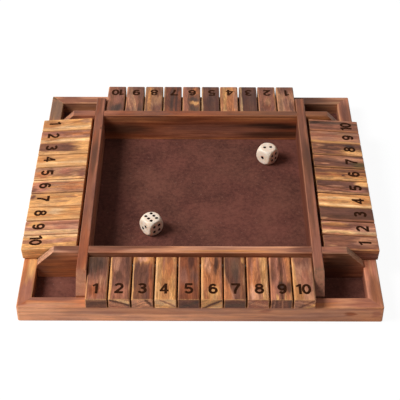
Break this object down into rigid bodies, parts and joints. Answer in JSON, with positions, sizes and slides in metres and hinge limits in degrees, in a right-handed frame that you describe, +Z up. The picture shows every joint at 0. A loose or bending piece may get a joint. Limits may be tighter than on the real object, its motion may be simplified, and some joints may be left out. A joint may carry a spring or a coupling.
{
  "type": "shut the box game",
  "caption": "Square wooden dice tray for four players, with a row of hinged numbered tiles along each side, felt-lined corner pockets and a pair of dice.",
  "frame": {"origin": "centre of the board's underside, on the surface that it rests on", "axes": "+Z up out of the tray, +X to the right along the front row from its 1 to its 10, +Y towards the back"},
  "size_m": [0.3078, 0.3078, 0.033],
  "materials": {
    "base_plywood": "bare plywood",
    "rail_wood": "satin reddish-brown stained hardwood",
    "divider_wood": "satin reddish-brown stained hardwood",
    "tile_wood": "satin hardwood, each tile cut from wood of another shade",
    "number_ink": "matte black ink",
    "felt": "maroon-brown felt",
    "steel_rod": "drawn steel",
    "die_resin": "ivory resin",
    "pip_paint": "black paint"
  },
  "bodies": {
    "board": {"base_board": "base_plywood", "tray_felt": "felt", "pocket_felts": "felt", "trough_felts": "felt", "rail_front": "rail_wood", "rail_right": "rail_wood", "rail_back": "rail_wood", "rail_left": "rail_wood", "divider_front": "divider_wood", "divider_right": "divider_wood", "divider_back": "divider_wood", "divider_left": "divider_wood", "rod_front": "steel_rod", "rod_right": "steel_rod", "rod_back": "steel_rod", "rod_left": "steel_rod"},
    "tile_front_1": {"tile_front_1": "tile_wood"},
    "tile_front_2": {"tile_front_2": "tile_wood"},
    "tile_front_3": {"tile_front_3": "tile_wood"},
    "tile_front_4": {"tile_front_4": "tile_wood"},
    "tile_front_5": {"tile_front_5": "tile_wood"},
    "tile_front_6": {"tile_front_6": "tile_wood"},
    "tile_front_7": {"tile_front_7": "tile_wood"},
    "tile_front_8": {"tile_front_8": "tile_wood"},
    "tile_front_9": {"tile_front_9": "tile_wood"},
    "tile_front_10": {"tile_front_10": "tile_wood"},
    "tile_right_1": {"tile_right_1": "tile_wood"},
    "tile_right_2": {"tile_right_2": "tile_wood"},
    "tile_right_3": {"tile_right_3": "tile_wood"},
    "tile_right_4": {"tile_right_4": "tile_wood"},
    "tile_right_5": {"tile_right_5": "tile_wood"},
    "tile_right_6": {"tile_right_6": "tile_wood"},
    "tile_right_7": {"tile_right_7": "tile_wood"},
    "tile_right_8": {"tile_right_8": "tile_wood"},
    "tile_right_9": {"tile_right_9": "tile_wood"},
    "tile_right_10": {"tile_right_10": "tile_wood"},
    "tile_back_1": {"tile_back_1": "tile_wood"},
    "tile_back_2": {"tile_back_2": "tile_wood"},
    "tile_back_3": {"tile_back_3": "tile_wood"},
    "tile_back_4": {"tile_back_4": "tile_wood"},
    "tile_back_5": {"tile_back_5": "tile_wood"},
    "tile_back_6": {"tile_back_6": "tile_wood"},
    "tile_back_7": {"tile_back_7": "tile_wood"},
    "tile_back_8": {"tile_back_8": "tile_wood"},
    "tile_back_9": {"tile_back_9": "tile_wood"},
    "tile_back_10": {"tile_back_10": "tile_wood"},
    "tile_left_1": {"tile_left_1": "tile_wood"},
    "tile_left_2": {"tile_left_2": "tile_wood"},
    "tile_left_3": {"tile_left_3": "tile_wood"},
    "tile_left_4": {"tile_left_4": "tile_wood"},
    "tile_left_5": {"tile_left_5": "tile_wood"},
    "tile_left_6": {"tile_left_6": "tile_wood"},
    "tile_left_7": {"tile_left_7": "tile_wood"},
    "tile_left_8": {"tile_left_8": "tile_wood"},
    "tile_left_9": {"tile_left_9": "tile_wood"},
    "tile_left_10": {"tile_left_10": "tile_wood"},
    "die_1": {"die_1": "die_resin"},
    "die_2": {"die_2": "die_resin"}
  },
  "joints": [
    {"name": "tile_front_1_hinge", "type": "hinge", "parent": "board", "child": "tile_front_1", "pos_m": [-0.0855, -0.1111, 0.0245], "axis": [-1, 0, 0], "range_deg": [0, 105]},
    {"name": "tile_front_2_hinge", "type": "hinge", "parent": "board", "child": "tile_front_2", "pos_m": [-0.0665, -0.1111, 0.0245], "axis": [-1, 0, 0], "range_deg": [0, 105]},
    {"name": "tile_front_3_hinge", "type": "hinge", "parent": "board", "child": "tile_front_3", "pos_m": [-0.0475, -0.1111, 0.0245], "axis": [-1, 0, 0], "range_deg": [0, 105]},
    {"name": "tile_front_4_hinge", "type": "hinge", "parent": "board", "child": "tile_front_4", "pos_m": [-0.0285, -0.1111, 0.0245], "axis": [-1, 0, 0], "range_deg": [0, 105]},
    {"name": "tile_front_5_hinge", "type": "hinge", "parent": "board", "child": "tile_front_5", "pos_m": [-0.0095, -0.1111, 0.0245], "axis": [-1, 0, 0], "range_deg": [0, 105]},
    {"name": "tile_front_6_hinge", "type": "hinge", "parent": "board", "child": "tile_front_6", "pos_m": [0.0095, -0.1111, 0.0245], "axis": [-1, 0, 0], "range_deg": [0, 105]},
    {"name": "tile_front_7_hinge", "type": "hinge", "parent": "board", "child": "tile_front_7", "pos_m": [0.0285, -0.1111, 0.0245], "axis": [-1, 0, 0], "range_deg": [0, 105]},
    {"name": "tile_front_8_hinge", "type": "hinge", "parent": "board", "child": "tile_front_8", "pos_m": [0.0475, -0.1111, 0.0245], "axis": [-1, 0, 0], "range_deg": [0, 105]},
    {"name": "tile_front_9_hinge", "type": "hinge", "parent": "board", "child": "tile_front_9", "pos_m": [0.0665, -0.1111, 0.0245], "axis": [-1, 0, 0], "range_deg": [0, 105]},
    {"name": "tile_front_10_hinge", "type": "hinge", "parent": "board", "child": "tile_front_10", "pos_m": [0.0855, -0.1111, 0.0245], "axis": [-1, 0, 0], "range_deg": [0, 105]},
    {"name": "tile_right_1_hinge", "type": "hinge", "parent": "board", "child": "tile_right_1", "pos_m": [0.1111, -0.0855, 0.0245], "axis": [0, -1, 0], "range_deg": [0, 105]},
    {"name": "tile_right_2_hinge", "type": "hinge", "parent": "board", "child": "tile_right_2", "pos_m": [0.1111, -0.0665, 0.0245], "axis": [0, -1, 0], "range_deg": [0, 105]},
    {"name": "tile_right_3_hinge", "type": "hinge", "parent": "board", "child": "tile_right_3", "pos_m": [0.1111, -0.0475, 0.0245], "axis": [0, -1, 0], "range_deg": [0, 105]},
    {"name": "tile_right_4_hinge", "type": "hinge", "parent": "board", "child": "tile_right_4", "pos_m": [0.1111, -0.0285, 0.0245], "axis": [0, -1, 0], "range_deg": [0, 105]},
    {"name": "tile_right_5_hinge", "type": "hinge", "parent": "board", "child": "tile_right_5", "pos_m": [0.1111, -0.0095, 0.0245], "axis": [0, -1, 0], "range_deg": [0, 105]},
    {"name": "tile_right_6_hinge", "type": "hinge", "parent": "board", "child": "tile_right_6", "pos_m": [0.1111, 0.0095, 0.0245], "axis": [0, -1, 0], "range_deg": [0, 105]},
    {"name": "tile_right_7_hinge", "type": "hinge", "parent": "board", "child": "tile_right_7", "pos_m": [0.1111, 0.0285, 0.0245], "axis": [0, -1, 0], "range_deg": [0, 105]},
    {"name": "tile_right_8_hinge", "type": "hinge", "parent": "board", "child": "tile_right_8", "pos_m": [0.1111, 0.0475, 0.0245], "axis": [0, -1, 0], "range_deg": [0, 105]},
    {"name": "tile_right_9_hinge", "type": "hinge", "parent": "board", "child": "tile_right_9", "pos_m": [0.1111, 0.0665, 0.0245], "axis": [0, -1, 0], "range_deg": [0, 105]},
    {"name": "tile_right_10_hinge", "type": "hinge", "parent": "board", "child": "tile_right_10", "pos_m": [0.1111, 0.0855, 0.0245], "axis": [0, -1, 0], "range_deg": [0, 105]},
    {"name": "tile_back_1_hinge", "type": "hinge", "parent": "board", "child": "tile_back_1", "pos_m": [0.0855, 0.1111, 0.0245], "axis": [1, 0, 0], "range_deg": [0, 105]},
    {"name": "tile_back_2_hinge", "type": "hinge", "parent": "board", "child": "tile_back_2", "pos_m": [0.0665, 0.1111, 0.0245], "axis": [1, 0, 0], "range_deg": [0, 105]},
    {"name": "tile_back_3_hinge", "type": "hinge", "parent": "board", "child": "tile_back_3", "pos_m": [0.0475, 0.1111, 0.0245], "axis": [1, 0, 0], "range_deg": [0, 105]},
    {"name": "tile_back_4_hinge", "type": "hinge", "parent": "board", "child": "tile_back_4", "pos_m": [0.0285, 0.1111, 0.0245], "axis": [1, 0, 0], "range_deg": [0, 105]},
    {"name": "tile_back_5_hinge", "type": "hinge", "parent": "board", "child": "tile_back_5", "pos_m": [0.0095, 0.1111, 0.0245], "axis": [1, 0, 0], "range_deg": [0, 105]},
    {"name": "tile_back_6_hinge", "type": "hinge", "parent": "board", "child": "tile_back_6", "pos_m": [-0.0095, 0.1111, 0.0245], "axis": [1, 0, 0], "range_deg": [0, 105]},
    {"name": "tile_back_7_hinge", "type": "hinge", "parent": "board", "child": "tile_back_7", "pos_m": [-0.0285, 0.1111, 0.0245], "axis": [1, 0, 0], "range_deg": [0, 105]},
    {"name": "tile_back_8_hinge", "type": "hinge", "parent": "board", "child": "tile_back_8", "pos_m": [-0.0475, 0.1111, 0.0245], "axis": [1, 0, 0], "range_deg": [0, 105]},
    {"name": "tile_back_9_hinge", "type": "hinge", "parent": "board", "child": "tile_back_9", "pos_m": [-0.0665, 0.1111, 0.0245], "axis": [1, 0, 0], "range_deg": [0, 105]},
    {"name": "tile_back_10_hinge", "type": "hinge", "parent": "board", "child": "tile_back_10", "pos_m": [-0.0855, 0.1111, 0.0245], "axis": [1, 0, 0], "range_deg": [0, 105]},
    {"name": "tile_left_1_hinge", "type": "hinge", "parent": "board", "child": "tile_left_1", "pos_m": [-0.1111, 0.0855, 0.0245], "axis": [0, 1, 0], "range_deg": [0, 105]},
    {"name": "tile_left_2_hinge", "type": "hinge", "parent": "board", "child": "tile_left_2", "pos_m": [-0.1111, 0.0665, 0.0245], "axis": [0, 1, 0], "range_deg": [0, 105]},
    {"name": "tile_left_3_hinge", "type": "hinge", "parent": "board", "child": "tile_left_3", "pos_m": [-0.1111, 0.0475, 0.0245], "axis": [0, 1, 0], "range_deg": [0, 105]},
    {"name": "tile_left_4_hinge", "type": "hinge", "parent": "board", "child": "tile_left_4", "pos_m": [-0.1111, 0.0285, 0.0245], "axis": [0, 1, 0], "range_deg": [0, 105]},
    {"name": "tile_left_5_hinge", "type": "hinge", "parent": "board", "child": "tile_left_5", "pos_m": [-0.1111, 0.0095, 0.0245], "axis": [0, 1, 0], "range_deg": [0, 105]},
    {"name": "tile_left_6_hinge", "type": "hinge", "parent": "board", "child": "tile_left_6", "pos_m": [-0.1111, -0.0095, 0.0245], "axis": [0, 1, 0], "range_deg": [0, 105]},
    {"name": "tile_left_7_hinge", "type": "hinge", "parent": "board", "child": "tile_left_7", "pos_m": [-0.1111, -0.0285, 0.0245], "axis": [0, 1, 0], "range_deg": [0, 105]},
    {"name": "tile_left_8_hinge", "type": "hinge", "parent": "board", "child": "tile_left_8", "pos_m": [-0.1111, -0.0475, 0.0245], "axis": [0, 1, 0], "range_deg": [0, 105]},
    {"name": "tile_left_9_hinge", "type": "hinge", "parent": "board", "child": "tile_left_9", "pos_m": [-0.1111, -0.0665, 0.0245], "axis": [0, 1, 0], "range_deg": [0, 105]},
    {"name": "tile_left_10_hinge", "type": "hinge", "parent": "board", "child": "tile_left_10", "pos_m": [-0.1111, -0.0855, 0.0245], "axis": [0, 1, 0], "range_deg": [0, 105]},
    {"name": "die_1_lift", "type": "slide", "parent": "board", "child": "die_1", "axis": [0, 0, 1], "range_m": [0, 0.07]},
    {"name": "die_2_lift", "type": "slide", "parent": "board", "child": "die_2", "axis": [0, 0, 1], "range_m": [0, 0.07]}
  ]
}
